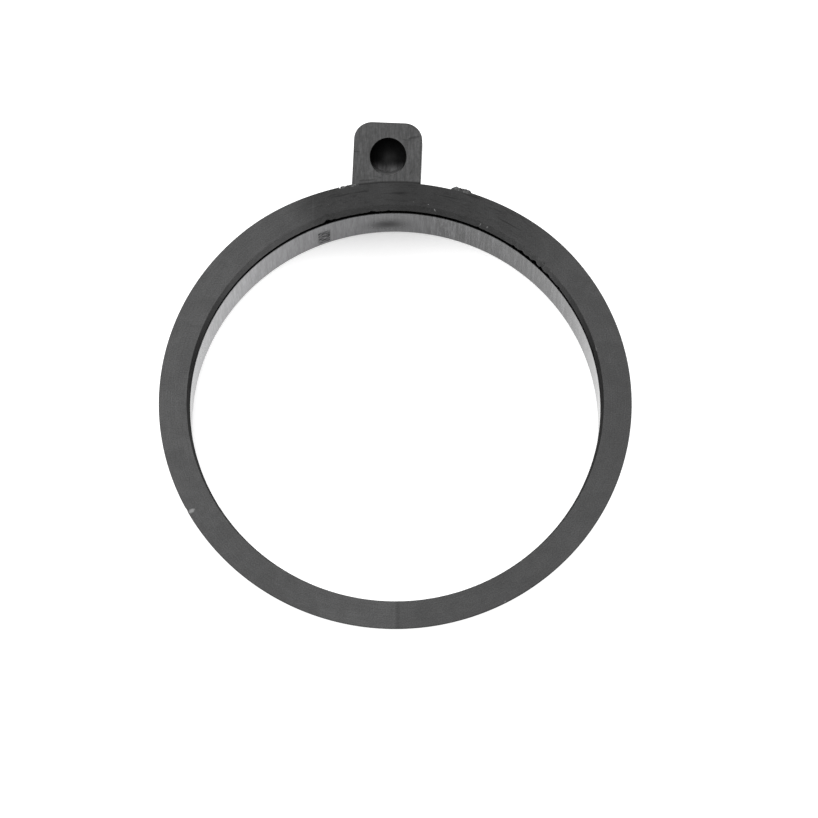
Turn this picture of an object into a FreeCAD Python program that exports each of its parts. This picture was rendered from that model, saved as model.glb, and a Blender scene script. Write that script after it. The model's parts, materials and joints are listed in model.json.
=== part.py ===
"""Open ring holder for a round survey prism, with one mounting lug.

The ring lies flat: its axis is +Z, its front face looks up, and the lug
stands towards +Y. The origin is on the ring's axis, in the plane of the back
rim. All lengths are in millimetres and all angles in degrees.
"""
import FreeCAD, Part
import math
import os

Vector = FreeCAD.Vector
UP = Vector(0, 0, 1)
ORIGIN = Vector(0, 0, 0)

# Ring: the seat that the prism drops into, and the flat face around it.
BORE_RADIUS = 32.1
RING_DEPTH = 11.0
FACE_WIDTH = 4.8
EDGE_BREAK = 0.12

# Lip: the front of the bore, which opens out in a steep lead-in cone.
LIP_DEPTH = 1.5
LEAD_IN_WIDTH = 0.48

# Flange: how the face ring is shaped behind its face.
FLANGE_DEPTH = 2.2
RIM_LAND = 0.25
BACK_BEVEL_ANGLE = 30.0

# Sleeve: the thin glossy tube that lines the bore. Under the lip it has an
# empty groove for a retaining ring.
SLEEVE_WALL = 1.4
GROOVE_DEPTH = 0.7
GROOVE_WIDTH = 1.25
SLEEVE_BACK_CHAMFER = 0.3
REBATE_CLEARANCE = 0.05

# Saddle: the curved foot that carries the lug, and the relief cut for it in
# the face ring's edge. Bearings count from +Y, positive towards +X.
SADDLE_OVERHANG = 0.2
SADDLE_BACK = 1.0
SADDLE_FROM = -13.2
SADDLE_TO = 19.3
RELIEF_DEPTH = 0.62
RELIEF_FROM = -14.2
RELIEF_TO = 18.9
BOND_GAP = 0.05

# Lug: the block with the socket. It leans outwards towards its back.
LUG_WIDTH = 10.9
LUG_LENGTH = 10.7
LUG_CORNER_RADIUS = 2.9
LUG_SET_BACK = 2.6
LUG_PROUD_OF_BACK = 0.5
LUG_RAKE = 16.0
LUG_OFFSET = -1.5
LUG_TURN = -2.35
LUG_EDGE_BREAK = 0.2

# Tenon: the block on the lug's inner end that keys it to the saddle.
TENON_WIDTH = 6.0
TENON_HEIGHT = 5.0
TENON_LENGTH = 2.1
TENON_CLEARANCE = 0.05

# Socket: the blind, inclined hole in the lug, with a drill-point end.
SOCKET_RADIUS = 2.92
SOCKET_DEPTH = 7.0
SOCKET_FROM_END = 5.85
SOCKET_OFFSET = 0.12
SOCKET_LEAN = 25.0
DRILL_POINT_ANGLE = 118.0

# Bond beads: hardened bonding compound squeezed out at the saddle's ends.
# The centre line of each lies a little inside the ring's edge.
BEAD_ABOVE_SADDLE = 0.7
BEADS = {
    "bond_bead_left": {"inset": 0.52, "radius": 0.75, "from": -12.9, "to": -10.0},
    "bond_bead_right": {"inset": 0.4, "radius": 0.9, "from": 15.2, "to": 17.8},
}

# Heights and radii that follow from the sizes above.
EDGE_RADIUS = BORE_RADIUS + FACE_WIDTH
SLEEVE_RADIUS = BORE_RADIUS + SLEEVE_WALL
SLEEVE_TOP = RING_DEPTH - LIP_DEPTH
FLANGE_BACK = RING_DEPTH - FLANGE_DEPTH
SADDLE_REACH = EDGE_RADIUS + SADDLE_OVERHANG
LUG_END = EDGE_RADIUS + LUG_LENGTH
LUG_TOP = RING_DEPTH - LUG_SET_BACK
LUG_BOTTOM = -LUG_PROUD_OF_BACK
TENON_END = SADDLE_REACH - TENON_LENGTH
TENON_BOTTOM = (SADDLE_BACK + FLANGE_BACK - TENON_HEIGHT) / 2
CUT_MARGIN = 4.0


def revolved(section):
    """Turn a closed outline of (radius, height) points about the ring's axis."""
    points = [Vector(radius, 0, height) for radius, height in section]
    outline = Part.makePolygon(points + points[:1])
    return Part.Face(outline).revolve(ORIGIN, UP, 360)


def arc_block(inner, outer, low, high, bearing_from, bearing_to):
    """Make a block bounded by two radii, two heights and two bearings from +Y."""
    section = [(inner, low), (outer, low), (outer, high), (inner, high)]
    points = [Vector(radius, 0, height) for radius, height in section]
    face = Part.Face(Part.makePolygon(points + points[:1]))
    face.rotate(ORIGIN, UP, 90 - bearing_to)
    return face.revolve(ORIGIN, UP, bearing_to - bearing_from)


def placed_like_lug(shape):
    """Turn a shape that points to +Y about the lug's root, and shift it sideways."""
    placed = shape.copy()
    placed.rotate(Vector(0, EDGE_RADIUS, 0), UP, LUG_TURN)
    placed.translate(Vector(LUG_OFFSET, 0, 0))
    return placed


def face_ring():
    """Flat front ring: lead-in cone, back-bevelled rim and a rebate for the sleeve."""
    bevel_run = (FLANGE_DEPTH - RIM_LAND) * math.tan(math.radians(BACK_BEVEL_ANGLE))
    rebate_radius = SLEEVE_RADIUS + REBATE_CLEARANCE
    ring = revolved([
        (BORE_RADIUS, SLEEVE_TOP),
        (BORE_RADIUS + LEAD_IN_WIDTH, RING_DEPTH),
        (EDGE_RADIUS - EDGE_BREAK, RING_DEPTH),
        (EDGE_RADIUS, RING_DEPTH - EDGE_BREAK),
        (EDGE_RADIUS, RING_DEPTH - RIM_LAND),
        (EDGE_RADIUS - bevel_run, FLANGE_BACK),
        (rebate_radius, FLANGE_BACK),
        (rebate_radius, SLEEVE_TOP),
    ])
    relief = arc_block(
        EDGE_RADIUS - RELIEF_DEPTH, EDGE_RADIUS + CUT_MARGIN,
        FLANGE_BACK - CUT_MARGIN, RING_DEPTH + CUT_MARGIN,
        RELIEF_FROM, RELIEF_TO)
    return ring.cut(relief)


def bore_sleeve():
    """Thin tube behind the face ring's lip: inside groove, chamfered back edge."""
    groove_radius = BORE_RADIUS + GROOVE_DEPTH
    groove_back = SLEEVE_TOP - GROOVE_WIDTH
    return revolved([
        (BORE_RADIUS, 0),
        (SLEEVE_RADIUS - SLEEVE_BACK_CHAMFER, 0),
        (SLEEVE_RADIUS, SLEEVE_BACK_CHAMFER),
        (SLEEVE_RADIUS, SLEEVE_TOP),
        (groove_radius, SLEEVE_TOP),
        (groove_radius, groove_back),
        (BORE_RADIUS, groove_back),
    ])


def tenon(clearance):
    """Make the key between lug and saddle in the lug's frame, grown at its sides."""
    return Part.makeBox(
        TENON_WIDTH + 2 * clearance,
        TENON_LENGTH + CUT_MARGIN,
        TENON_HEIGHT + 2 * clearance,
        Vector(-TENON_WIDTH / 2 - clearance, TENON_END, TENON_BOTTOM - clearance))


def lug_saddle():
    """Curved foot on the sleeve, under the flange, with a mortise for the lug."""
    foot = arc_block(
        SLEEVE_RADIUS + BOND_GAP, SADDLE_REACH, SADDLE_BACK, FLANGE_BACK,
        SADDLE_FROM, SADDLE_TO)
    return foot.cut(placed_like_lug(tenon(TENON_CLEARANCE)))


def lug_outline():
    """Face of the lug in its own frame: square inside the ring, rounded outside."""
    half = LUG_WIDTH / 2
    corner = LUG_CORNER_RADIUS
    diagonal = corner * (1 - math.sqrt(0.5))
    start = SLEEVE_RADIUS - CUT_MARGIN
    inner_left = Vector(-half, start, LUG_TOP)
    inner_right = Vector(half, start, LUG_TOP)
    right_low = Vector(half, LUG_END - corner, LUG_TOP)
    right_mid = Vector(half - diagonal, LUG_END - diagonal, LUG_TOP)
    right_high = Vector(half - corner, LUG_END, LUG_TOP)
    left_high = Vector(corner - half, LUG_END, LUG_TOP)
    left_mid = Vector(diagonal - half, LUG_END - diagonal, LUG_TOP)
    left_low = Vector(-half, LUG_END - corner, LUG_TOP)
    edges = [
        Part.makeLine(inner_left, inner_right),
        Part.makeLine(inner_right, right_low),
        Part.Arc(right_low, right_mid, right_high).toShape(),
        Part.makeLine(right_high, left_high),
        Part.Arc(left_high, left_mid, left_low).toShape(),
        Part.makeLine(left_low, inner_left),
    ]
    return Part.Face(Part.Wire(edges))


def socket():
    """Inclined blind hole with a drill-point end, as a solid to cut away."""
    lean = math.radians(SOCKET_LEAN)
    inwards = Vector(0, math.sin(lean), -math.cos(lean))
    mouth = Vector(SOCKET_OFFSET, LUG_END - SOCKET_FROM_END, LUG_TOP)
    start = mouth - inwards * CUT_MARGIN
    floor = mouth + inwards * SOCKET_DEPTH
    point_length = SOCKET_RADIUS / math.tan(math.radians(DRILL_POINT_ANGLE / 2))
    barrel = Part.makeCylinder(SOCKET_RADIUS, SOCKET_DEPTH + CUT_MARGIN, start, inwards)
    point = Part.makeCone(SOCKET_RADIUS, 0, point_length, floor, inwards)
    return barrel.fuse(point)


def outline_edges(block, height):
    """List the block's edges that lie at one height."""
    return [
        edge for edge in block.Edges
        if all(abs(vertex.Z - height) < EDGE_BREAK / 2 for vertex in edge.Vertexes)
    ]


def mounting_lug():
    """Leaning block with broken edges, hollowed to the saddle and keyed to it."""
    rake = math.radians(LUG_RAKE)
    height = LUG_TOP - LUG_BOTTOM
    lean = Vector(0, height * math.tan(rake), -height)
    block = lug_outline().extrude(lean)
    rims = outline_edges(block, LUG_TOP) + outline_edges(block, LUG_BOTTOM)
    block = block.makeChamfer(LUG_EDGE_BREAK, rims)
    block = placed_like_lug(block)
    seat = Part.makeCylinder(
        SADDLE_REACH + BOND_GAP, height + 2 * CUT_MARGIN,
        Vector(0, 0, LUG_BOTTOM - CUT_MARGIN))
    block = block.cut(seat)
    block = block.fuse(placed_like_lug(tenon(0)).cut(placed_like_lug(socket())))
    return block.cut(placed_like_lug(socket())).removeSplitter()


def bond_bead(inset, radius, bearing_from, bearing_to, neighbours):
    """Short rounded bead under the rim, trimmed to the pieces that it bonds."""
    reach = EDGE_RADIUS - inset
    height = FLANGE_BACK + BEAD_ABOVE_SADDLE
    centre = Vector(reach, 0, height)
    circle = Part.Face(Part.Wire(Part.makeCircle(radius, centre, Vector(0, 1, 0))))
    circle.rotate(ORIGIN, UP, 90 - bearing_to)
    bead = circle.revolve(ORIGIN, UP, bearing_to - bearing_from)
    for bearing in (bearing_from, bearing_to):
        turn = math.radians(bearing)
        end = Vector(reach * math.sin(turn), reach * math.cos(turn), height)
        bead = bead.fuse(Part.makeSphere(radius, end))
    for neighbour in neighbours:
        bead = bead.cut(neighbour)
    return bead.removeSplitter()


def save(node, shape):
    """Write one piece as parts/NODE.step."""
    solids = shape.Solids
    if not solids:
        raise RuntimeError(node + " has no solid")
    piece = solids[0] if len(solids) == 1 else Part.makeCompound(solids)
    if not piece.isValid():
        raise RuntimeError(node + " is not a valid solid")
    piece.exportStep("parts/" + node + ".step")
    print(node, len(solids), round(piece.Volume, 2))


def main():
    """Build every piece and save each one under its own name."""
    os.makedirs("parts", exist_ok=True)
    pieces = {
        "face_ring": face_ring(),
        "bore_sleeve": bore_sleeve(),
        "lug_saddle": lug_saddle(),
        "mounting_lug": mounting_lug(),
    }
    neighbours = list(pieces.values())
    for node, bead in BEADS.items():
        pieces[node] = bond_bead(
            bead["inset"], bead["radius"], bead["from"], bead["to"], neighbours)
    for node, shape in pieces.items():
        save(node, shape)


main()
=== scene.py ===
"""Looks of an open ring holder for a round survey prism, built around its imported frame."""
import json
import math

import bmesh
import bpy
from bpy.props import FloatProperty, FloatVectorProperty, IntProperty, PointerProperty
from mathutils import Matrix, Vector, noise


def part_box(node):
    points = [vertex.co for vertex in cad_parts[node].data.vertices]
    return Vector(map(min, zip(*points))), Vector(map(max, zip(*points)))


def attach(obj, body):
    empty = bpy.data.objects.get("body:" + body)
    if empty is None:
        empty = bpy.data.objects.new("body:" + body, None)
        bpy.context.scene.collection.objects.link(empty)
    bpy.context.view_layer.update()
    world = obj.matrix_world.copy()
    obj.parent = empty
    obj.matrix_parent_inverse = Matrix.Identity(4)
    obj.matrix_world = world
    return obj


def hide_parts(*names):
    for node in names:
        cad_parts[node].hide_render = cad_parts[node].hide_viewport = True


bl_info = {
    "name": "Prism Ring Holder",
    "version": (1, 0, 0),
    "blender": (4, 5, 0),
    "location": "View3D > Sidebar > Prism Holder",
    "description": "Builds a black ring holder for a round survey prism, with its lug and stage",
    "category": "Add Mesh",
}

MM = 0.001
BODY = "root"

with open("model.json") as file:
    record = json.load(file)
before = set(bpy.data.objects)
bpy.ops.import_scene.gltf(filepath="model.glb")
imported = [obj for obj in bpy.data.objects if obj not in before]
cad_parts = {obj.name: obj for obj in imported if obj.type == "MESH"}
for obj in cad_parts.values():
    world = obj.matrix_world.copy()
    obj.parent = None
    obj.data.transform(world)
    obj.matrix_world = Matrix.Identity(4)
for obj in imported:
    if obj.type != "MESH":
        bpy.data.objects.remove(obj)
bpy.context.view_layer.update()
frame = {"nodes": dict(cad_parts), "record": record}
MOUNTS = {mount["name"]: mount for mount in frame["record"]["mounts"]}
RING_LOW, RING_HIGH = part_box("face_ring")
SLEEVE_LOW, SLEEVE_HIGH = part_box("bore_sleeve")
LUG_LOW, LUG_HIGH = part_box("mounting_lug")

EDGE_RADIUS = RING_HIGH.x
FACE_HEIGHT = RING_HIGH.z
FLANGE_BACK = RING_LOW.z
BORE_RADIUS = MOUNTS["prism_bore"]["dims"]["r_mm"] * MM
SLEEVE_RADIUS = SLEEVE_HIGH.x
SLEEVE_TOP = SLEEVE_HIGH.z
LEAD_IN_WIDTH = 0.48 * MM
LIP_RADIUS = BORE_RADIUS + LEAD_IN_WIDTH
LUG_FOOT_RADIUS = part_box("lug_saddle")[1].y
LUG_TOP = LUG_HIGH.z
SOCKET_RADIUS = MOUNTS["lug_socket"]["dims"]["r_mm"] * MM
SOCKET_POINT = Vector(MOUNTS["lug_socket"]["pos_m"])
SOCKET_AXIS = Vector(MOUNTS["lug_socket"]["axis"])

# Bearings are in degrees from +Y towards +X. In all ranges a third number softens both ends.
RELIEF_BEARINGS = (-14.2, 18.9)
RIM_WEAR_LEFT = (-40.0, -13.8)
RIM_WEAR_RIGHT = (18.5, 47.0)
RAGGED_LIP = (-34.0, 42.0, 9.0)

# Dents: bearing, half width in degrees, and share of the depth.
LIP_NICKS = (
    (-19.5, 1.5, 1.0), (-17.6, 0.8, 0.5), (-6.8, 1.6, 0.55), (-2.0, 0.9, 0.3),
    (24.0, 0.7, 0.35), (35.6, 1.2, 0.5), (38.3, 1.4, 0.62), (40.7, 1.0, 0.5), (43.0, 1.4, 0.9),
    (45.6, 1.0, 0.8), (48.4, 1.2, 0.6), (53.2, 0.8, 0.35), (74.5, 1.3, 0.5),
)
RIM_CHIPS = ((-118.9, 0.75, 1.0),)

# Grey level of the front face's coating by bearing, where 1 is its colour setting: partly a painted
# sheen, lighter on the left than on the right, and partly wear, darker across the worked stretch at
# the top.
FACE_SHEEN_AND_WEAR_TONES = (
    (-180.0, 1.05), (-170.0, 1.1), (-150.0, 0.94), (-130.0, 1.0), (-100.0, 1.08), (-60.0, 1.06),
    (-36.0, 1.0), (-28.0, 0.86), (-21.0, 0.5), (-1.0, 0.5), (1.0, 0.38), (16.0, 0.46),
    (34.0, 0.62), (48.0, 0.75), (62.0, 0.85), (90.0, 0.8), (130.0, 0.88), (150.0, 0.8),
    (179.0, 0.88),
)

# Beads: piece, the CAD node that it stands for, and its seed.
BEAD_PIECES = (("bead_left", "bond_bead_left", 3.1), ("bead_right", "bond_bead_right", 8.4))

# Bright marks of bare metal: place in millimetres, bearing of the long side, half sizes.
BARE_MARKS = (
    (-31.5, -18.05, -118.9, 0.55, 0.34), (6.2, 31.85, 130.0, 0.19, 0.06),
    (13.4, 29.5, 60.0, 0.15, 0.05), (14.5, 29.0, 80.0, 0.12, 0.05),
    (5.2, 32.6, 100.0, 0.09, 0.05), (16.9, -32.55, 60.0, 0.16, 0.05),
)

# Darker scuffs on the lug's face, given like the bare marks.
LUG_SCUFFS = (
    (-4.6, 37.7, 86.0, 1.3, 0.16), (-3.0, 38.3, 100.0, 0.8, 0.1), (2.9, 45.0, 80.0, 1.1, 0.2),
    (1.7, 44.6, 95.0, 0.7, 0.12), (2.4, 39.0, 20.0, 0.6, 0.1), (-6.2, 42.6, 90.0, 0.6, 0.14),
)

# Darker smudges on the face, given like the bare marks.
FACE_SMUDGES = (
    (-8.6, 34.1, 76.0, 2.3, 0.16), (-5.4, 34.75, 81.0, 1.7, 0.14), (0.6, 34.5, 91.0, 1.9, 0.3),
    (8.6, 33.8, 104.0, 2.6, 0.13), (12.4, 33.9, 110.0, 2.2, 0.15), (17.5, 29.6, 121.0, 2.4, 0.13),
)

# Painted reflection on the bore's wall, brightest on the left, as (bearing, level) stops.
BORE_REFLECTION_TONES = (
    (-180.0, 0.02), (-95.0, 0.02), (-70.0, 0.75), (-50.0, 0.9), (-30.0, 0.55), (-15.0, 0.5),
    (0.0, 0.42), (15.0, 0.3), (30.0, 0.2), (50.0, 0.2), (70.0, 0.3), (95.0, 0.02), (180.0, 0.02),
)

# Bearings where the face is worked and specked, and how far to the right two lines run on it.
WORKED_FACE = (-24.0, 38.0, 7.0)
SPECKED_FACE = (-30.0, 42.0, 8.0)
SCRIBED_LINE = (-13.12, -12.98, 0.07)
RUBBED_LINE = (0.2, 0.7, 0.15)

# The bore's wall: bearings of its streaks, its scuff, its dull spot, and the brightness of its painted
# reflection.
BORE_STREAKS = (10.0, 75.0, 6.0)
SCUFF_BEARINGS = (-22.6, -18.9, 0.25)
SCUFF_HEIGHTS = (0.6, 5.6, 0.5)
DULL_SPOT_PLACE = (-2.2, 3.5)
DULL_SPOT_HALF_SIZES = (3.2, 8.5)
BORE_REFLECTION_GAIN = 50.0

# Where the painted shadow lies on the table inside the ring beside the lug, in millimetres.
TABLE_SHADE_PLACE = (-1.0, 31.0)
TABLE_SHADE_HALF_SIZES = (19.0, 13.0)

# The visual meshes: reach of nicks and chips, spacing of points, and angles between faces.
NICK_REACH = 0.7 * MM
CHIP_REACH = 0.8 * MM
FACE_RING_SPACING = 0.24 * MM
SLEEVE_SPACING = 1.0 * MM
MERGE_DISTANCE = 0.001 * MM
SHARP_ANGLE = math.radians(25)
SOFTENED_ANGLE = math.radians(30)
FLAT_ANGLE = math.radians(0.5)

# The stage, in metres.
TABLE_HALF_WIDTH = 3.0
OVERHEAD_PLACE = (-0.15, 0.15, 1.3)
OVERHEAD_SIZE = 1.3


# ---------------------------------------------------------------- settings

class PrismHolderSizes(bpy.types.PropertyGroup):
    """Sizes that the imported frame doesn't give by name."""

    lead_in_width: FloatProperty(
        name="Lead-in width", description="How far the lead-in cone opens out at the face",
        default=LEAD_IN_WIDTH, unit="LENGTH")
    groove_depth: FloatProperty(
        name="Groove depth", description="Depth of the empty retaining groove under the lip",
        default=0.7 * MM, unit="LENGTH")
    groove_width: FloatProperty(
        name="Groove width", description="Width of the empty retaining groove",
        default=1.25 * MM, unit="LENGTH")
    edge_break: FloatProperty(
        name="Edge break", description="Small bevel on the face's outer edge",
        default=0.12 * MM, unit="LENGTH")
    rim_land: FloatProperty(
        name="Rim land", description="Straight part of the rim before the back bevel",
        default=0.25 * MM, unit="LENGTH")
    bevel_run: FloatProperty(
        name="Bevel run", description="How far the back bevel comes in from the rim",
        default=1.126 * MM, unit="LENGTH")
    rebate_clearance: FloatProperty(
        name="Rebate clearance", description="Gap round the sleeve inside the front ring",
        default=0.05 * MM, unit="LENGTH")
    sleeve_back_chamfer: FloatProperty(
        name="Sleeve back chamfer", description="Chamfer on the sleeve's back edge",
        default=0.3 * MM, unit="LENGTH")
    relief_depth: FloatProperty(
        name="Relief depth", description="How far the rim is cut back beside the lug",
        default=0.62 * MM, unit="LENGTH")
    relief_from: FloatProperty(
        name="Relief from", description="Bearing where the rim's relief starts, from +Y towards +X",
        default=math.radians(RELIEF_BEARINGS[0]), subtype="ANGLE")
    relief_to: FloatProperty(
        name="Relief to", description="Bearing where the rim's relief ends, from +Y towards +X",
        default=math.radians(RELIEF_BEARINGS[1]), subtype="ANGLE")
    nick_depth: FloatProperty(
        name="Nick depth", description="Depth of the deepest nicks in the lip",
        default=0.34 * MM, unit="LENGTH")
    ragged_depth: FloatProperty(
        name="Ragged depth", description="Fine raggedness along the lip beside the lug",
        default=0.07 * MM, unit="LENGTH")
    chip_depth: FloatProperty(
        name="Chip depth", description="Depth of the chip in the rim",
        default=0.1 * MM, unit="LENGTH")
    rim_wear: FloatProperty(
        name="Rim wear", description="How far the rim is worn in just past both ends of its relief",
        default=0.26 * MM, unit="LENGTH")
    lug_softening: FloatProperty(
        name="Lug softening", description="Rounding of the lug's edges under its coating",
        default=0.07 * MM, unit="LENGTH")
    bead_grain: FloatProperty(
        name="Bead grain", description="Size of the faces on the beads",
        default=0.05 * MM, unit="LENGTH")
    bead_roughness: FloatProperty(
        name="Bead roughness", description="How far the beads' skin goes in and out",
        default=0.16 * MM, unit="LENGTH")
    ring_steps: IntProperty(
        name="Ring steps", description="Steps round the turned pieces", default=1440, min=64)


class PrismHolderFinish(bpy.types.PropertyGroup):
    """Colours and gloss of the finishes."""

    coating: FloatVectorProperty(
        name="Coating", description="Black coating of the face and the lug",
        default=(0.056, 0.056, 0.0565), size=3, min=0, max=1, subtype="COLOR")
    gloss_coating: FloatVectorProperty(
        name="Gloss coating", description="Black coating of the bore",
        default=(0.006, 0.006, 0.0062), size=3, min=0, max=1, subtype="COLOR")
    bare_metal: FloatVectorProperty(
        name="Bare metal", description="Metal that shows in chips",
        default=(0.22, 0.22, 0.222), size=3, min=0, max=1, subtype="COLOR")
    compound: FloatVectorProperty(
        name="Bonding compound", description="Hardened compound at the saddle's ends",
        default=(0.06, 0.06, 0.0605), size=3, min=0, max=1, subtype="COLOR")
    table: FloatVectorProperty(
        name="Table", description="Pale light table that the holder lies on",
        default=(0.86, 0.86, 0.86), size=3, min=0, max=1, subtype="COLOR")
    table_glow: FloatProperty(
        name="Table glow", description="Light that the table gives off outside the ring",
        default=0.9, min=0)
    bore_glow: FloatProperty(
        name="Bore glow", description="Light that the table gives off inside the ring",
        default=0.5, min=0)
    table_shade: FloatProperty(
        name="Table shade", description="How much dimmer the table is just inside the ring at the lug",
        default=0.26, min=0, max=1)


class PrismHolderStage(bpy.types.PropertyGroup):
    """Camera and light."""

    lens: FloatProperty(
        name="Lens", description="Focal length on a 36 mm sensor", default=198.0, min=10)
    camera_place: FloatVectorProperty(
        name="Camera place", description="Camera place in ring radii from the face's centre",
        default=(-0.021, -5.94, 18.065), size=3)
    camera_tilt: FloatProperty(
        name="Camera tilt", description="Lean of the camera from straight down",
        default=math.radians(18.09), subtype="ANGLE")
    camera_roll: FloatProperty(
        name="Camera roll", description="Sideways lean of the camera",
        default=math.radians(-0.25), subtype="ANGLE")
    overhead: FloatProperty(
        name="Overhead light", description="Power of the large overhead light",
        default=17.0, min=0, unit="POWER")
    surround: FloatProperty(
        name="Surround", description="Strength of the plain surround", default=0.5, min=0)


SETTING_GROUPS = {
    "prism_holder_sizes": PrismHolderSizes,
    "prism_holder_finish": PrismHolderFinish,
    "prism_holder_stage": PrismHolderStage,
}


# ---------------------------------------------------------------- node helpers

class Graph:
    """Short calls for adding and linking nodes in one tree."""

    def __init__(self, tree):
        """Start at the left of a tree."""
        self.tree = tree
        self.column = 0

    def add(self, kind, **settings):
        """Add a node; settings are its properties."""
        node = self.tree.nodes.new(kind)
        node.location = (self.column * 190, 0)
        self.column += 1
        for name, value in settings.items():
            setattr(node, name, value)
        return node

    def feed(self, socket, value):
        """Link an output into a socket, or set the socket's value."""
        if isinstance(value, bpy.types.NodeSocket):
            self.tree.links.new(value, socket)
        elif value is not None:
            socket.default_value = value

    def math(self, operation, *values):
        """Add a Math node and return its output."""
        node = self.add("ShaderNodeMath", operation=operation)
        for socket, value in zip(node.inputs, values):
            self.feed(socket, value)
        return node.outputs[0]

    def chain(self, operation, first, *others):
        """Run one operation along several values."""
        for other in others:
            first = self.math(operation, first, other)
        return first

    def times(self, *values):
        """Multiply values."""
        return self.chain("MULTIPLY", *values)

    def plus(self, *values):
        """Add values."""
        return self.chain("ADD", *values)

    def minus(self, first, second):
        """Subtract the second value from the first."""
        return self.math("SUBTRACT", first, second)

    def most(self, *values):
        """Take the largest value."""
        return self.chain("MAXIMUM", *values)

    def rest(self, share):
        """Take a share away from one."""
        return self.math("SUBTRACT", 1.0, share)

    def ramp(self, value, low, high, to_low=0.0, to_high=1.0, smooth=True):
        """Map a value from one range to another, clamped."""
        node = self.add("ShaderNodeMapRange", clamp=True)
        node.interpolation_type = "SMOOTHSTEP" if smooth else "LINEAR"
        for index, item in enumerate((value, low, high, to_low, to_high)):
            self.feed(node.inputs[index], item)
        return node.outputs[0]

    def vector(self, x, y, z):
        """Combine three values."""
        node = self.add("ShaderNodeCombineXYZ")
        for socket, value in zip(node.inputs, (x, y, z)):
            self.feed(socket, value)
        return node.outputs[0]

    def noise(self, vector, scale=1.0, detail=2.0, roughness=0.5, distortion=0.0):
        """Add a noise texture and return its factor."""
        node = self.add("ShaderNodeTexNoise")
        self.feed(node.inputs["Vector"], vector)
        self.feed(node.inputs["Scale"], scale)
        self.feed(node.inputs["Detail"], detail)
        self.feed(node.inputs["Roughness"], roughness)
        self.feed(node.inputs["Distortion"], distortion)
        return node.outputs["Factor" if "Factor" in node.outputs else "Fac"]

    def mix(self, factor, first, second):
        """Mix two colours."""
        node = self.add("ShaderNodeMix", data_type="RGBA")
        self.feed(node.inputs[0], factor)
        self.feed(node.inputs[6], first)
        self.feed(node.inputs[7], second)
        return node.outputs[2]

    def stretched(self, parts, shares, scale, detail, roughness, distortion=0.0):
        """Noise over three values, each first multiplied by its share."""
        place = self.vector(*[self.times(part, share) for part, share in zip(parts, shares)])
        return self.noise(place, scale, detail, roughness, distortion)

    def swing(self, noise, amount, low=0.3, high=0.7):
        """Turn noise into a level that swings round one by an amount."""
        return self.ramp(noise, low, high, 1.0 - amount, 1.0 + amount)

    def bump(self, height, distance, strength=1.0):
        """Add a bump whose height is in fractions of a distance in metres."""
        node = self.add("ShaderNodeBump")
        self.feed(node.inputs["Strength"], strength)
        self.feed(node.inputs["Distance"], distance)
        self.feed(node.inputs["Height"], height)
        return node.outputs[0]


def rgba(colour, gain=1.0):
    """Colour with full alpha, brightened by a gain."""
    return tuple(min(channel * gain, 1.0) for channel in colour) + (1.0,)


def new_material(name, roughness, specular=0.5):
    """Material with one Principled shader; gives the material, graph and shader."""
    material = bpy.data.materials.new(name)
    material.use_nodes = True
    graph = Graph(material.node_tree)
    shader = material.node_tree.nodes["Principled BSDF"]
    shader.inputs["Roughness"].default_value = roughness
    shader.inputs["Specular IOR Level"].default_value = specular
    return material, graph, shader


def object_axes(graph):
    """Object coordinates in millimetres, as three outputs."""
    coords = graph.add("ShaderNodeTexCoord")
    split = graph.add("ShaderNodeSeparateXYZ")
    graph.feed(split.inputs[0], coords.outputs["Object"])
    return [graph.times(axis, 1 / MM) for axis in split.outputs]


def polar(graph, x, y):
    """Radius in millimetres and bearing in degrees from +Y towards +X."""
    radius = graph.math("SQRT", graph.plus(graph.times(x, x), graph.times(y, y)))
    bearing = graph.times(graph.math("ARCTAN2", x, y), 180 / math.pi)
    return radius, bearing


def window(graph, value, low, high, soft):
    """One between low and high, zero outside, with soft ends."""
    rise = graph.ramp(value, low - soft, low + soft)
    fall = graph.ramp(value, high - soft, high + soft, 1.0, 0.0)
    return graph.times(rise, fall)


# ---------------------------------------------------------------- finishes

def mark(graph, x, y, place, half_sizes, bearing=0.0, edge=None, core=0.55):
    """One in the core of an ellipse with its first half size along a bearing, fading outwards."""
    turn = math.radians(bearing)
    away_x = graph.minus(x, place[0])
    away_y = graph.minus(y, place[1])
    along = graph.plus(graph.times(away_x, math.sin(turn)),
                       graph.times(away_y, math.cos(turn)))
    across = graph.minus(graph.times(away_x, math.cos(turn)),
                        graph.times(away_y, math.sin(turn)))
    along = graph.math("POWER", graph.math("DIVIDE", along, half_sizes[0]), 2.0)
    across = graph.math("POWER", graph.math("DIVIDE", across, half_sizes[1]), 2.0)
    reach = graph.math("SQRT", graph.plus(along, across))
    if edge is not None:
        reach = graph.plus(reach, graph.ramp(edge, 0.3, 0.7, -0.3, 0.3))
    return graph.ramp(reach, core, 1.15, 1.0, 0.0)


def marks(graph, x, y, table, edge, core=0.55):
    """One inside any mark of a table of (x, y, bearing, half length, half width)."""
    result = 0.0
    for mark_x, mark_y, bearing, half_long, half_wide in table:
        spot = mark(graph, x, y, (mark_x, mark_y), (half_long, half_wide), bearing, edge, core)
        result = graph.most(result, spot)
    return result


def tone_round(graph, bearing, stops):
    """Grey level round the ring, straight between (bearing, level) stops."""
    ramp = graph.add("ShaderNodeValToRGB")
    graph.feed(ramp.inputs[0], graph.ramp(bearing, -180.0, 180.0, smooth=False))
    elements = ramp.color_ramp.elements
    while len(elements) < len(stops):
        elements.new(0.5)
    for element, (place, level) in zip(elements, stops):
        element.position = (place + 180.0) / 360.0
        element.color = (level, level, level, 1.0)
    return ramp.outputs[0]


def painted(graph, shader, colour, level):
    """Feed a colour times a level into the shader's base colour; gives the colour's socket."""
    node = graph.add("ShaderNodeVectorMath", operation="SCALE")
    node.inputs[0].default_value = colour
    graph.feed(node.inputs["Scale"], level)
    graph.feed(shader.inputs["Base Color"], node.outputs[0])
    return node.outputs[0]


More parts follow.
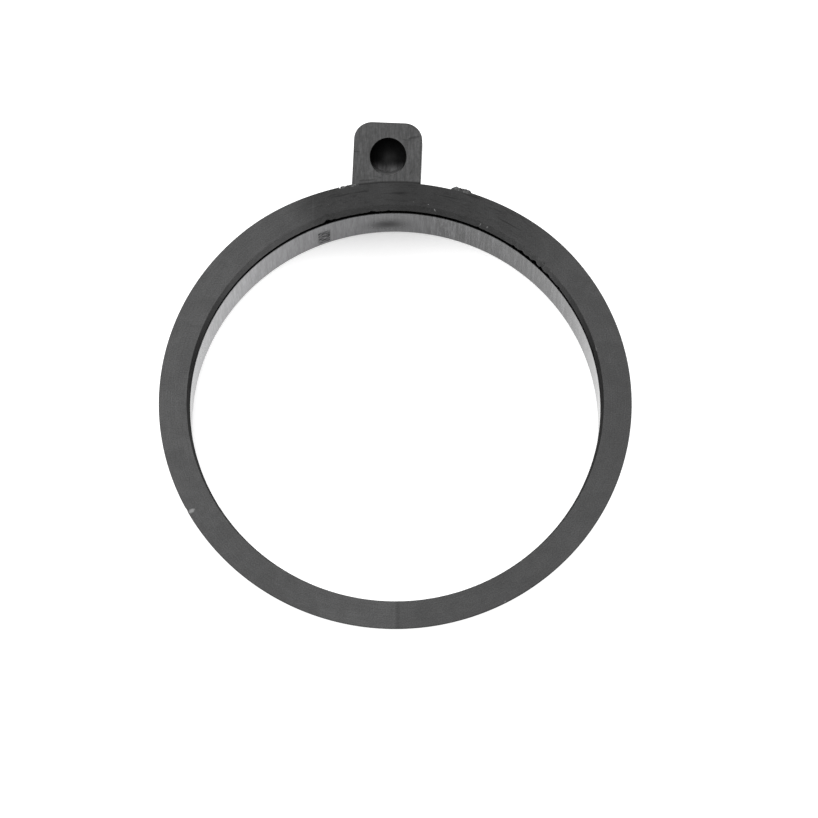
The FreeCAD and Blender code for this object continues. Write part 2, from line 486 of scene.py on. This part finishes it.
def turned_face_finish(finish):
    """Satin black with fine turned marks, a painted sheen round the face, painted shade on the lead-in
    cone, strokes and smudges beside the lug, and bare specks.
    """
    material, graph, shader = new_material("turned_satin_black", 0.45, specular=0.16)
    x, y, z = object_axes(graph)
    radius, bearing = polar(graph, x, y)
    place = graph.vector(x, y, z)
    around = graph.math("ABSOLUTE", bearing)
    turned = graph.stretched((radius, bearing, z), (5.0, 0.09, 1.0), 1.0, 5.0, 0.65)
    strokes = graph.noise(
        graph.vector(graph.times(radius, 2.6), graph.times(bearing, 0.33), 4.0), 1.0, 3.0, 0.65, 0.6)
    grain = graph.noise(place, 5.0, 4.0, 0.7)
    cloud = graph.noise(place, 0.35, 3.0, 0.6, 0.8)

    worked = window(graph, bearing, *WORKED_FACE)
    top = graph.math("GREATER_THAN", y, 0.0)
    scribed = graph.times(window(graph, x, *SCRIBED_LINE), top)
    rubbed = graph.times(window(graph, x, *RUBBED_LINE), graph.rest(top))
    smudged = marks(graph, x, y, FACE_SMUDGES, turned, core=0.2)
    on_face = graph.ramp(radius, LIP_RADIUS / MM - 0.06, LIP_RADIUS / MM + 0.02)
    level = graph.times(
        # Painted sheen round the face, with the darker worked stretch at the top.
        tone_round(graph, bearing, FACE_SHEEN_AND_WEAR_TONES),
        graph.swing(turned, 0.14),
        graph.swing(grain, 0.36, 0.25, 0.75),
        graph.swing(cloud, 0.1),
        graph.rest(graph.times(worked, graph.ramp(strokes, 0.5, 0.68, 0.0, 0.36))),
        graph.plus(1.0, graph.times(scribed, 0.35)),
        graph.rest(graph.times(rubbed, 0.2)),
        # Painted shade: the lead-in cone's colour is darkened on its sides and at the bottom.
        graph.most(on_face, graph.ramp(around, 50.0, 80.0, 0.92, 0.1)),
        graph.rest(graph.times(smudged, 0.6)),
    )
    coat = painted(graph, shader, finish.coating, level)

    specks = graph.ramp(graph.noise(place, 3.4, 2.0, 0.6), 0.77, 0.8)
    inside = graph.ramp(radius, 34.6, 35.4, 1.0, 0.0)
    bare = graph.times(specks, window(graph, bearing, *SPECKED_FACE), inside)
    bare = graph.most(bare, marks(graph, x, y, BARE_MARKS, grain))
    on_front = graph.ramp(z, FLANGE_BACK / MM + 1.0, FLANGE_BACK / MM + 1.3)
    bare = graph.times(bare, on_front)
    graph.feed(shader.inputs["Base Color"], graph.mix(bare, coat, rgba(finish.bare_metal)))

    rough = graph.plus(
        graph.ramp(turned, 0.3, 0.7, 0.38, 0.52),
        graph.times(worked, 0.1),
        graph.times(graph.rest(on_face), graph.ramp(around, 32.0, 66.0, 0.0, 0.4)))
    graph.feed(shader.inputs["Roughness"], rough)
    height = graph.plus(turned, graph.times(grain, 0.6))
    graph.feed(shader.inputs["Normal"], graph.bump(height, 0.012 * MM, 0.5))
    return material


def gloss_bore_finish(finish):
    """Gloss black with a painted reflection round the bore, fine axial streaks in it, and a dull spot
    and a scuff beside the lug that darken it.
    """
    material, graph, shader = new_material("gloss_bore_black", 0.1, specular=0.16)
    x, y, z = object_axes(graph)
    radius, bearing = polar(graph, x, y)
    streaks = graph.noise(
        graph.vector(graph.times(bearing, 1.1), graph.times(z, 0.1), 0.0), 1.0, 5.0, 0.75)
    fine = graph.noise(
        graph.vector(graph.times(bearing, 6.0), graph.times(z, 0.5), 2.0), 1.0, 3.0, 0.6)
    strokes = graph.noise(
        graph.vector(graph.times(bearing, 0.7), graph.times(z, 2.4), 5.0), 1.0, 3.0, 0.6)

    on_wall = graph.ramp(radius, BORE_RADIUS / MM + 0.02, BORE_RADIUS / MM + 0.15, 1.0, 0.0)
    scuffed = graph.times(
        window(graph, bearing, *SCUFF_BEARINGS),
        window(graph, z, *SCUFF_HEIGHTS),
        graph.ramp(strokes, 0.4, 0.56, 0.15, 0.85),
        on_wall)
    spot = mark(graph, bearing, z, DULL_SPOT_PLACE, DULL_SPOT_HALF_SIZES, core=0.0)
    dull = graph.times(spot, on_wall)
    rough = graph.plus(
        graph.ramp(streaks, 0.3, 0.7, 0.06, 0.14), graph.times(scuffed, 0.8), graph.times(dull, 0.36))
    graph.feed(shader.inputs["Roughness"], rough)

    streaked = graph.plus(0.22, graph.times(window(graph, bearing, *BORE_STREAKS), 0.6))
    # Painted reflection: the coating is brightened round the bore, streaked, and darkened at the scuff
    # and the dull spot.
    level = graph.times(
        graph.plus(1.0, graph.times(graph.ramp(streaks, 0.36, 0.66, -0.8, 0.8), streaked)),
        graph.plus(1.0, graph.times(graph.ramp(fine, 0.3, 0.7, -0.5, 0.5), streaked)),
        tone_round(graph, bearing, BORE_REFLECTION_TONES),
        graph.rest(graph.most(scuffed, graph.times(dull, 0.85))),
        BORE_REFLECTION_GAIN,
        graph.most(on_wall, 0.01),
    )
    painted(graph, shader, finish.gloss_coating, level)
    graph.feed(shader.inputs["Normal"], graph.bump(streaks, 0.008 * MM, 0.3))
    return material


def socket_painted_light_and_shade(graph, x, y, z):
    """Grey level inside the socket: painted shade down the hole, with painted light on the wall
    nearest the ring and a little more towards one side.
    """
    near_side = (Vector((0, -1, 0)) + SOCKET_AXIS * SOCKET_AXIS.y).normalized()
    away = [graph.minus(value, place / MM) for value, place in zip((x, y, z), SOCKET_POINT)]
    near, side = [
        graph.plus(*[graph.times(value, share) for value, share in zip(away, direction)])
        for direction in (near_side, SOCKET_AXIS.cross(near_side))]
    reach = graph.math("SQRT", graph.plus(graph.times(near, near), graph.times(side, side)))
    wall = SOCKET_RADIUS / MM
    # Painted light on the wall nearest the ring and towards one side; the low base level is painted
    # shade in the hole.
    worn = graph.math("POWER", graph.ramp(near, wall * 0.1, wall * 0.95), 2.7)
    side_light = graph.ramp(side, 0.0, wall, 0.0, 0.16)
    level = graph.plus(0.06, graph.most(graph.times(worn, 2.3), side_light))
    inside = graph.times(
        graph.ramp(reach, wall + 0.02, wall + 0.1, 1.0, 0.0),
        graph.ramp(z, LUG_TOP / MM - 0.16, LUG_TOP / MM - 0.04, 1.0, 0.0))
    return graph.plus(graph.times(inside, level), graph.rest(inside))


def brushed_lug_finish(finish):
    """Satin black over straight brushing along the lug, scuffed in places, with painted shade at its
    foot and painted light and shade in its socket.
    """
    material, graph, shader = new_material("brushed_satin_black", 0.45, specular=0.16)
    x, y, z = object_axes(graph)
    radius = polar(graph, x, y)[0]
    brushed = graph.stretched((x, y, z), (2.3, 0.22, 0.22), 1.0, 4.0, 0.7, 0.3)
    hairs = graph.stretched((x, y, z), (8.0, 0.9, 0.9), 1.0, 2.0, 0.6)
    grain = graph.noise(graph.vector(x, y, z), 2.2, 4.0, 0.7)
    level = graph.times(
        graph.swing(brushed, 0.32),
        graph.swing(hairs, 0.16),
        graph.swing(grain, 0.18),
        # Painted shade along the lug's foot, beside the ring's edge.
        graph.ramp(radius, LUG_FOOT_RADIUS / MM + 0.3, LUG_FOOT_RADIUS / MM + 0.62, 0.12, 1.0),
        socket_painted_light_and_shade(graph, x, y, z),
        graph.rest(graph.times(marks(graph, x, y, LUG_SCUFFS, grain), 0.42)),
    )
    painted(graph, shader, finish.coating, level)
    graph.feed(shader.inputs["Roughness"], graph.ramp(brushed, 0.3, 0.7, 0.36, 0.5))
    height = graph.plus(brushed, graph.times(hairs, 0.5))
    graph.feed(shader.inputs["Normal"], graph.bump(height, 0.012 * MM, 0.5))
    return material


def compound_finish(finish):
    """Dull hardened compound, pale and grainy on its crests."""
    material, graph, shader = new_material("bonding_compound", 0.65, specular=0.3)
    place = graph.vector(*object_axes(graph))
    grain = graph.noise(place, 4.0, 5.0, 0.7)
    crumbs = graph.noise(place, 1.6, 3.0, 0.6)
    level = graph.times(
        graph.ramp(grain, 0.3, 0.7, 0.5, 1.6), graph.ramp(crumbs, 0.4, 0.62, 0.6, 1.9))
    painted(graph, shader, finish.compound, level)
    graph.feed(shader.inputs["Roughness"], graph.ramp(grain, 0.3, 0.7, 0.5, 0.8))
    graph.feed(shader.inputs["Normal"], graph.bump(grain, 0.05 * MM, 0.8))
    return material


def table_finish(finish):
    """Pale light table that glows more outside the ring to wash out the ring's shadow, with painted
    shade inside the ring and a painted shadow just inside it beside the lug.
    """
    material, graph, shader = new_material("pale_table", 0.5, specular=0.1)
    x, y, z = object_axes(graph)
    radius = polar(graph, x, y)[0]
    cloud = graph.noise(graph.vector(x, y, z), 0.02, 2.0, 0.5)
    sleeve = SLEEVE_RADIUS / MM
    in_bore = graph.ramp(radius, sleeve - 0.9, sleeve - 0.4, 1.0, 0.0)
    # Painted shadow of the lug, just inside the ring.
    patch = mark(graph, x, y, TABLE_SHADE_PLACE, TABLE_SHADE_HALF_SIZES, 90.0, core=0.1)
    shade = graph.times(patch, finish.table_shade, in_bore)
    # Painted shade inside the ring and painted light outside it: a darker colour and less glow inside,
    # and more glow outside.
    pale = graph.mix(in_bore, rgba(finish.table, 0.58), rgba(finish.table))
    pale = graph.mix(graph.times(cloud, 0.1), pale, rgba(finish.table, 0.9))
    graph.feed(shader.inputs["Base Color"], graph.mix(shade, pale, rgba(finish.table, 0.0)))
    glow = graph.plus(finish.table_glow, graph.times(in_bore, finish.bore_glow - finish.table_glow))
    shader.inputs["Emission Color"].default_value = (1, 1, 1, 1)
    graph.feed(shader.inputs["Emission Strength"], graph.times(glow, graph.rest(shade)))
    return material


# ---------------------------------------------------------------- turned pieces

TURNING_SIZES = (
    "Inner Edge", "Outer Edge", "Face Height", "Nick Depth", "Ragged Depth", "Chip Depth",
    "Rim Wear", "Relief Radius", "Relief From", "Relief To", "Sharp Angle",
)


def dents(graph, bearing, table):
    """Depth from 0 to 1 at a bearing in degrees, from a table of dents."""
    depth = 0.0
    for centre, half_width, share in table:
        away = graph.math("ABSOLUTE", graph.minus(bearing, centre))
        depth = graph.most(depth, graph.ramp(away, 0.0, half_width, share, 0.0))
    return depth


def damage(graph, inputs, radius, height, turn):
    """Move section points outwards at the lip's nicks, inwards at the rim's chips and wear."""
    bearing = graph.times(graph.math("WRAP", turn, math.pi, -math.pi), 180 / math.pi)
    rough = graph.noise(
        graph.vector(graph.times(bearing, 2.4), graph.times(height, 900), 3.0), 1.0, 3.0, 0.7)
    nick = graph.times(dents(graph, bearing, LIP_NICKS), graph.ramp(rough, 0.25, 0.6, 0.35, 1.0))
    ragged = graph.times(
        graph.ramp(rough, 0.45, 0.75), graph.most(window(graph, bearing, *RAGGED_LIP), 0.15))
    out = graph.plus(
        graph.times(nick, inputs["Nick Depth"]), graph.times(ragged, inputs["Ragged Depth"]))
    past_lip = graph.minus(radius, inputs["Inner Edge"])
    out = graph.times(out, graph.ramp(past_lip, 0.0, NICK_REACH, 1.0, 0.0, smooth=False))

    near_rim = graph.ramp(graph.minus(inputs["Outer Edge"], radius), 0.0, CHIP_REACH, 1.0, 0.0)
    near_face = graph.ramp(graph.minus(inputs["Face Height"], height), 0.0, CHIP_REACH, 1.0, 0.0)
    chip = graph.times(dents(graph, bearing, RIM_CHIPS), inputs["Chip Depth"])
    chip = graph.times(chip, graph.times(near_rim, near_face))
    worn = graph.times(
        graph.ramp(bearing, *RIM_WEAR_RIGHT, 1.0, 0.0), graph.ramp(bearing, *RIM_WEAR_LEFT))
    worn = graph.times(worn, graph.rest(window(graph, bearing, *RELIEF_BEARINGS, 0.2)))
    worn = graph.times(worn, inputs["Rim Wear"], near_rim)
    radius = graph.plus(radius, graph.minus(graph.minus(out, chip), worn))
    return radius, graph.minus(height, chip)


def turned_tree(name):
    """Geometry Nodes that turn a closed section about Z and cut back the rim's relief."""
    tree = bpy.data.node_groups.new(name, "GeometryNodeTree")
    tree.is_modifier = True
    face = tree.interface
    face.new_socket("Section", in_out="INPUT", socket_type="NodeSocketGeometry")
    face.new_socket("Steps", in_out="INPUT", socket_type="NodeSocketInt")
    for size_name in TURNING_SIZES:
        face.new_socket(size_name, in_out="INPUT", socket_type="NodeSocketFloat")
    face.new_socket("Finish", in_out="INPUT", socket_type="NodeSocketMaterial")
    face.new_socket("Piece", in_out="OUTPUT", socket_type="NodeSocketGeometry")
    graph = Graph(tree)
    inputs = graph.add("NodeGroupInput").outputs

    size = graph.add("GeometryNodeAttributeDomainSize")
    graph.feed(size.inputs[0], inputs["Section"])
    count = size.outputs["Point Count"]
    grid = graph.add("GeometryNodeMeshGrid")
    graph.feed(grid.inputs["Vertices X"], graph.plus(inputs["Steps"], 1.0))
    graph.feed(grid.inputs["Vertices Y"], count)

    index = graph.add("GeometryNodeInputIndex").outputs[0]
    step = graph.math("FLOOR", graph.math("DIVIDE", graph.plus(index, 0.5), count))
    column = graph.minus(index, graph.times(step, count))
    sample = graph.add("GeometryNodeSampleIndex", data_type="FLOAT_VECTOR", domain="POINT")
    graph.feed(sample.inputs["Geometry"], inputs["Section"])
    graph.feed(sample.inputs["Value"], graph.add("GeometryNodeInputPosition").outputs[0])
    graph.feed(sample.inputs["Index"], column)
    split = graph.add("ShaderNodeSeparateXYZ")
    graph.feed(split.inputs[0], sample.outputs[0])
    radius, height = split.outputs[0], split.outputs[2]

    turn = graph.times(graph.math("DIVIDE", step, inputs["Steps"]), 2 * math.pi)
    bearing = graph.math("WRAP", turn, math.pi, -math.pi)
    inside = graph.times(
        graph.math("GREATER_THAN", bearing, inputs["Relief From"]),
        graph.math("LESS_THAN", bearing, inputs["Relief To"]))
    cut = graph.math("MINIMUM", radius, inputs["Relief Radius"])
    shift = graph.times(inside, graph.minus(cut, radius))
    radius = graph.plus(radius, shift)
    radius, height = damage(graph, inputs, radius, height, turn)
    place = graph.vector(
        graph.times(radius, graph.math("SINE", turn)),
        graph.times(radius, graph.math("COSINE", turn)),
        height)
    move = graph.add("GeometryNodeSetPosition")
    graph.feed(move.inputs["Geometry"], grid.outputs["Mesh"])
    graph.feed(move.inputs["Position"], place)
    merge = graph.add("GeometryNodeMergeByDistance")
    graph.feed(merge.inputs["Geometry"], move.outputs[0])
    graph.feed(merge.inputs["Distance"], MERGE_DISTANCE)

    smooth = graph.add("GeometryNodeSetShadeSmooth", domain="FACE")
    graph.feed(smooth.inputs["Geometry"], merge.outputs[0])
    angle = graph.add("GeometryNodeInputMeshEdgeAngle")
    sharp = graph.math("GREATER_THAN", angle.outputs["Unsigned Angle"], inputs["Sharp Angle"])
    edges = graph.add("GeometryNodeSetShadeSmooth", domain="EDGE")
    graph.feed(edges.inputs["Geometry"], smooth.outputs[0])
    graph.feed(edges.inputs["Selection"], sharp)
    edges.inputs["Shade Smooth"].default_value = False

    realize = graph.add("GeometryNodeRealizeInstances")
    graph.feed(realize.inputs[0], edges.outputs[0])
    paint = graph.add("GeometryNodeSetMaterial")
    graph.feed(paint.inputs["Geometry"], realize.outputs[0])
    graph.feed(paint.inputs["Material"], inputs["Finish"])
    output = graph.add("NodeGroupOutput")
    graph.feed(output.inputs[0], paint.outputs[0])
    return tree


def set_input(modifier, tree, name, value):
    """Set a modifier's input by its socket's identifier."""
    for item in tree.interface.items_tree:
        if item.item_type == "SOCKET" and item.in_out == "INPUT" and item.name == name:
            modifier[item.identifier] = value
            return
    raise KeyError(name)


def link_object(name, mesh):
    """Put a mesh in the scene at the origin."""
    obj = bpy.data.objects.new(name, mesh)
    bpy.context.scene.collection.objects.link(obj)
    return obj


def nodes_to_mesh(name, seed_mesh, tree, values):
    """Run a tree on a mesh and keep the result as a plain object."""
    maker = link_object(name + "_maker", seed_mesh)
    modifier = maker.modifiers.new(tree.name, "NODES")
    modifier.node_group = tree
    for key, value in values.items():
        set_input(modifier, tree, key, value)
    depsgraph = bpy.context.evaluated_depsgraph_get()
    mesh = bpy.data.meshes.new_from_object(maker.evaluated_get(depsgraph), depsgraph=depsgraph)
    maker.modifiers.clear()
    bpy.data.objects.remove(maker)
    mesh.name = name
    return link_object(name, mesh)


def subdivided(points, longest):
    """Add points between corners so that no run is longer than a length."""
    result = []
    for start, end in zip(points, points[1:] + points[:1]):
        start, end = Vector(start), Vector(end)
        count = max(1, math.ceil((end - start).length / longest))
        result += [start.lerp(end, step / count) for step in range(count)]
    return result


def section_mesh(name, points, longest):
    """Closed section of (radius, height) points as a mesh of points, ends repeated."""
    line = subdivided(points, longest)
    line.append(line[0])
    mesh = bpy.data.meshes.new(name + "_section")
    mesh.from_pydata([(point.x, 0, point.y) for point in line], [], [])
    return mesh


def face_outwards(obj):
    """Point every face of a closed mesh outwards."""
    build = bmesh.new()
    build.from_mesh(obj.data)
    bmesh.ops.recalc_face_normals(build, faces=build.faces)
    build.to_mesh(obj.data)
    build.free()


def keep_for(obj, node):
    """Ride on the body and hide the CAD node that the piece stands for."""
    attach(obj, BODY)
    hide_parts(node)


def turned_piece(name, points, longest, finish_material, sizes, damaged=False):
    """Make one turned piece from its section, with the lip's and rim's dents if damaged."""
    tree = turned_tree(name + "_turning")
    values = {
        "Steps": sizes.ring_steps,
        "Inner Edge": BORE_RADIUS + sizes.lead_in_width,
        "Outer Edge": EDGE_RADIUS,
        "Face Height": FACE_HEIGHT,
        "Nick Depth": sizes.nick_depth if damaged else 0.0,
        "Ragged Depth": sizes.ragged_depth if damaged else 0.0,
        "Chip Depth": sizes.chip_depth if damaged else 0.0,
        "Rim Wear": sizes.rim_wear if damaged else 0.0,
        "Relief Radius": EDGE_RADIUS - sizes.relief_depth,
        "Relief From": sizes.relief_from,
        "Relief To": sizes.relief_to,
        "Sharp Angle": SHARP_ANGLE,
        "Finish": finish_material,
    }
    piece = nodes_to_mesh(name, section_mesh(name, points, longest), tree, values)
    face_outwards(piece)
    return piece


class PRISMHOLDER_OT_face_ring(bpy.types.Operator):
    """Make the flat front ring"""

    bl_idname = "prismholder.face_ring"
    bl_label = "Front Ring"

    def execute(self, context):
        """Turn the front ring's section."""
        sizes = context.scene.prism_holder_sizes
        rebate = SLEEVE_RADIUS + sizes.rebate_clearance
        points = [
            (BORE_RADIUS, SLEEVE_TOP),
            (BORE_RADIUS + sizes.lead_in_width, FACE_HEIGHT),
            (EDGE_RADIUS - sizes.edge_break, FACE_HEIGHT),
            (EDGE_RADIUS, FACE_HEIGHT - sizes.edge_break),
            (EDGE_RADIUS, FACE_HEIGHT - sizes.rim_land),
            (EDGE_RADIUS - sizes.bevel_run, FLANGE_BACK),
            (rebate, FLANGE_BACK),
            (rebate, SLEEVE_TOP),
        ]
        material = turned_face_finish(context.scene.prism_holder_finish)
        piece = turned_piece("front_ring", points, FACE_RING_SPACING, material, sizes, damaged=True)
        keep_for(piece, "face_ring")
        return {"FINISHED"}


class PRISMHOLDER_OT_bore_sleeve(bpy.types.Operator):
    """Make the glossy bore sleeve"""

    bl_idname = "prismholder.bore_sleeve"
    bl_label = "Bore Sleeve"

    def execute(self, context):
        """Turn the sleeve's section."""
        sizes = context.scene.prism_holder_sizes
        groove_back = SLEEVE_TOP - sizes.groove_width
        points = [
            (BORE_RADIUS, 0.0),
            (SLEEVE_RADIUS - sizes.sleeve_back_chamfer, 0.0),
            (SLEEVE_RADIUS, sizes.sleeve_back_chamfer),
            (SLEEVE_RADIUS, SLEEVE_TOP),
            (BORE_RADIUS + sizes.groove_depth, SLEEVE_TOP),
            (BORE_RADIUS + sizes.groove_depth, groove_back),
            (BORE_RADIUS, groove_back),
        ]
        material = gloss_bore_finish(context.scene.prism_holder_finish)
        piece = turned_piece("sleeve", points, SLEEVE_SPACING, material, sizes)
        keep_for(piece, "bore_sleeve")
        return {"FINISHED"}


def merged_copy(node):
    """Copy of a CAD node's mesh with its loose triangles merged and flat faces joined."""
    mesh = frame["nodes"][node].data.copy()
    build = bmesh.new()
    build.from_mesh(mesh)
    bmesh.ops.remove_doubles(build, verts=build.verts, dist=MERGE_DISTANCE)
    bmesh.ops.dissolve_limit(
        build, angle_limit=FLAT_ANGLE, verts=build.verts, edges=build.edges)
    build.to_mesh(mesh)
    build.free()
    return mesh


def with_modifiers(name, mesh, modifiers):
    """Run modifiers, given as (kind, settings), on a mesh and keep the result."""
    maker = link_object(name + "_maker", mesh)
    for kind, settings in modifiers:
        modifier = maker.modifiers.new(kind.title(), kind)
        for key, value in settings.items():
            setattr(modifier, key, value)
    depsgraph = bpy.context.evaluated_depsgraph_get()
    result = bpy.data.meshes.new_from_object(maker.evaluated_get(depsgraph), depsgraph=depsgraph)
    maker.modifiers.clear()
    bpy.data.objects.remove(maker)
    result.name = name
    return result


def single_finish(obj, material):
    """Give the whole piece one finish."""
    obj.data.materials.clear()
    obj.data.materials.append(material)


class PRISMHOLDER_OT_lug(bpy.types.Operator):
    """Soften the lug's edges and finish the lug and its saddle"""

    bl_idname = "prismholder.lug"
    bl_label = "Lug and Saddle"

    def execute(self, context):
        """Round the lug's edges and give both pieces their finish."""
        finish = context.scene.prism_holder_finish
        sizes = context.scene.prism_holder_sizes
        bevel = ("BEVEL", {
            "width": sizes.lug_softening, "segments": 3, "limit_method": "ANGLE",
            "angle_limit": SOFTENED_ANGLE, "harden_normals": True, "use_clamp_overlap": True,
        })
        lug = link_object("lug", with_modifiers("lug", merged_copy("mounting_lug"), [bevel]))
        single_finish(lug, brushed_lug_finish(finish))
        keep_for(lug, "mounting_lug")
        for slot in frame["nodes"]["lug_saddle"].material_slots:
            slot.material = turned_face_finish(finish)
        return {"FINISHED"}


def crumbled(mesh, depth, seed):
    """Push a fine mesh in and out along its normals by layered noise."""
    offset = Vector((seed, seed * 0.7, -seed))
    for vertex in mesh.vertices:
        place = vertex.co / MM
        coarse = noise.fractal(place * 1.1 + offset, 0.9, 2.0, 5)
        grit = noise.noise(place * 5.5 + offset)
        vertex.co += vertex.normal * depth * (coarse + 0.35 * grit)


class PRISMHOLDER_OT_beads(bpy.types.Operator):
    """Make the crumbled beads of bonding compound"""

    bl_idname = "prismholder.beads"
    bl_label = "Bond Beads"

    def execute(self, context):
        """Remesh each bead finely and crumble its skin."""
        sizes = context.scene.prism_holder_sizes
        material = compound_finish(context.scene.prism_holder_finish)
        remesh = ("REMESH", {
            "mode": "VOXEL", "voxel_size": sizes.bead_grain, "use_smooth_shade": True})
        for name, node, seed in BEAD_PIECES:
            mesh = with_modifiers(name, merged_copy(node), [remesh])
            crumbled(mesh, sizes.bead_roughness, seed)
            bead = link_object(name, mesh)
            single_finish(bead, material)
            keep_for(bead, node)
        return {"FINISHED"}


# ---------------------------------------------------------------- stage

def add_area(name, place, aim, size, power):
    """Square area light aimed at a point."""
    light = bpy.data.lights.new(name, "AREA")
    light.shape = "SQUARE"
    light.size = size
    light.energy = power
    obj = link_object(name, light)
    obj.location = place
    obj.rotation_euler = (Vector(aim) - Vector(place)).to_track_quat("-Z", "Y").to_euler()
    return obj


class PRISMHOLDER_OT_stage(bpy.types.Operator):
    """Make the table, the lights and the camera"""

    bl_idname = "prismholder.stage"
    bl_label = "Stage"

    def execute(self, context):
        """Build everything that isn't part of the holder."""
        stage = context.scene.prism_holder_stage
        near_rim = Vector((0, -SLEEVE_RADIUS, SLEEVE_LOW.z))
        far_foot = Vector((0, LUG_HIGH.y, LUG_LOW.z))
        slope = (far_foot.z - near_rim.z) / (far_foot.y - near_rim.y)
        half = TABLE_HALF_WIDTH
        mesh = bpy.data.meshes.new("table")
        outline = [(-half, -half), (half, -half), (half, half), (-half, half)]
        mesh.from_pydata(
            [(x, y, near_rim.z + slope * (y - near_rim.y)) for x, y in outline], [], [(0, 1, 2, 3)])
        table = link_object("table", mesh)
        table.data.materials.append(table_finish(context.scene.prism_holder_finish))

        add_area("overhead_light", OVERHEAD_PLACE, (0, 0, 0), OVERHEAD_SIZE, stage.overhead)

        world = bpy.data.worlds.new("surround")
        world.use_nodes = True
        background = world.node_tree.nodes["Background"]
        background.inputs["Color"].default_value = (1, 1, 1, 1)
        background.inputs["Strength"].default_value = stage.surround
        context.scene.world = world

        camera = bpy.data.cameras.new("camera")
        camera.sensor_width = 36.0
        camera.lens = stage.lens
        holder = link_object("camera", camera)
        centre = Vector((0, 0, FACE_HEIGHT))
        holder.location = centre + Vector(stage.camera_place) * EDGE_RADIUS
        holder.rotation_euler = (stage.camera_tilt, stage.camera_roll, 0)
        context.scene.camera = holder
        context.scene.view_settings.view_transform = "Standard"
        return {"FINISHED"}


# ---------------------------------------------------------------- add-on

OPERATORS = (
    PRISMHOLDER_OT_face_ring,
    PRISMHOLDER_OT_bore_sleeve,
    PRISMHOLDER_OT_lug,
    PRISMHOLDER_OT_beads,
    PRISMHOLDER_OT_stage,
)


class PRISMHOLDER_PT_panel(bpy.types.Panel):
    """Lists the steps that build the holder"""

    bl_idname = "PRISMHOLDER_PT_panel"
    bl_label = "Prism Holder"
    bl_space_type = "VIEW_3D"
    bl_region_type = "UI"
    bl_category = "Prism Holder"

    def draw(self, context):
        """Show every operator and every setting."""
        for operator in OPERATORS:
            self.layout.operator(operator.bl_idname)
        for name, group in SETTING_GROUPS.items():
            box = self.layout.box()
            for prop in group.__annotations__:
                box.prop(getattr(context.scene, name), prop)


CLASSES = tuple(SETTING_GROUPS.values()) + OPERATORS + (PRISMHOLDER_PT_panel,)


def register():
    """Register the classes and put the settings on the scene."""
    for item in CLASSES:
        bpy.utils.register_class(item)
    for name, group in SETTING_GROUPS.items():
        setattr(bpy.types.Scene, name, PointerProperty(type=group))


def unregister():
    """Take the settings and the classes away again."""
    for name in SETTING_GROUPS:
        delattr(bpy.types.Scene, name)
    for item in reversed(CLASSES):
        bpy.utils.unregister_class(item)


def main():
    """Build the holder and its stage."""
    register()
    for operator in OPERATORS:
        group, name = operator.bl_idname.split(".")
        getattr(getattr(bpy.ops, group), name)()


if __name__ == "__main__":
    main()
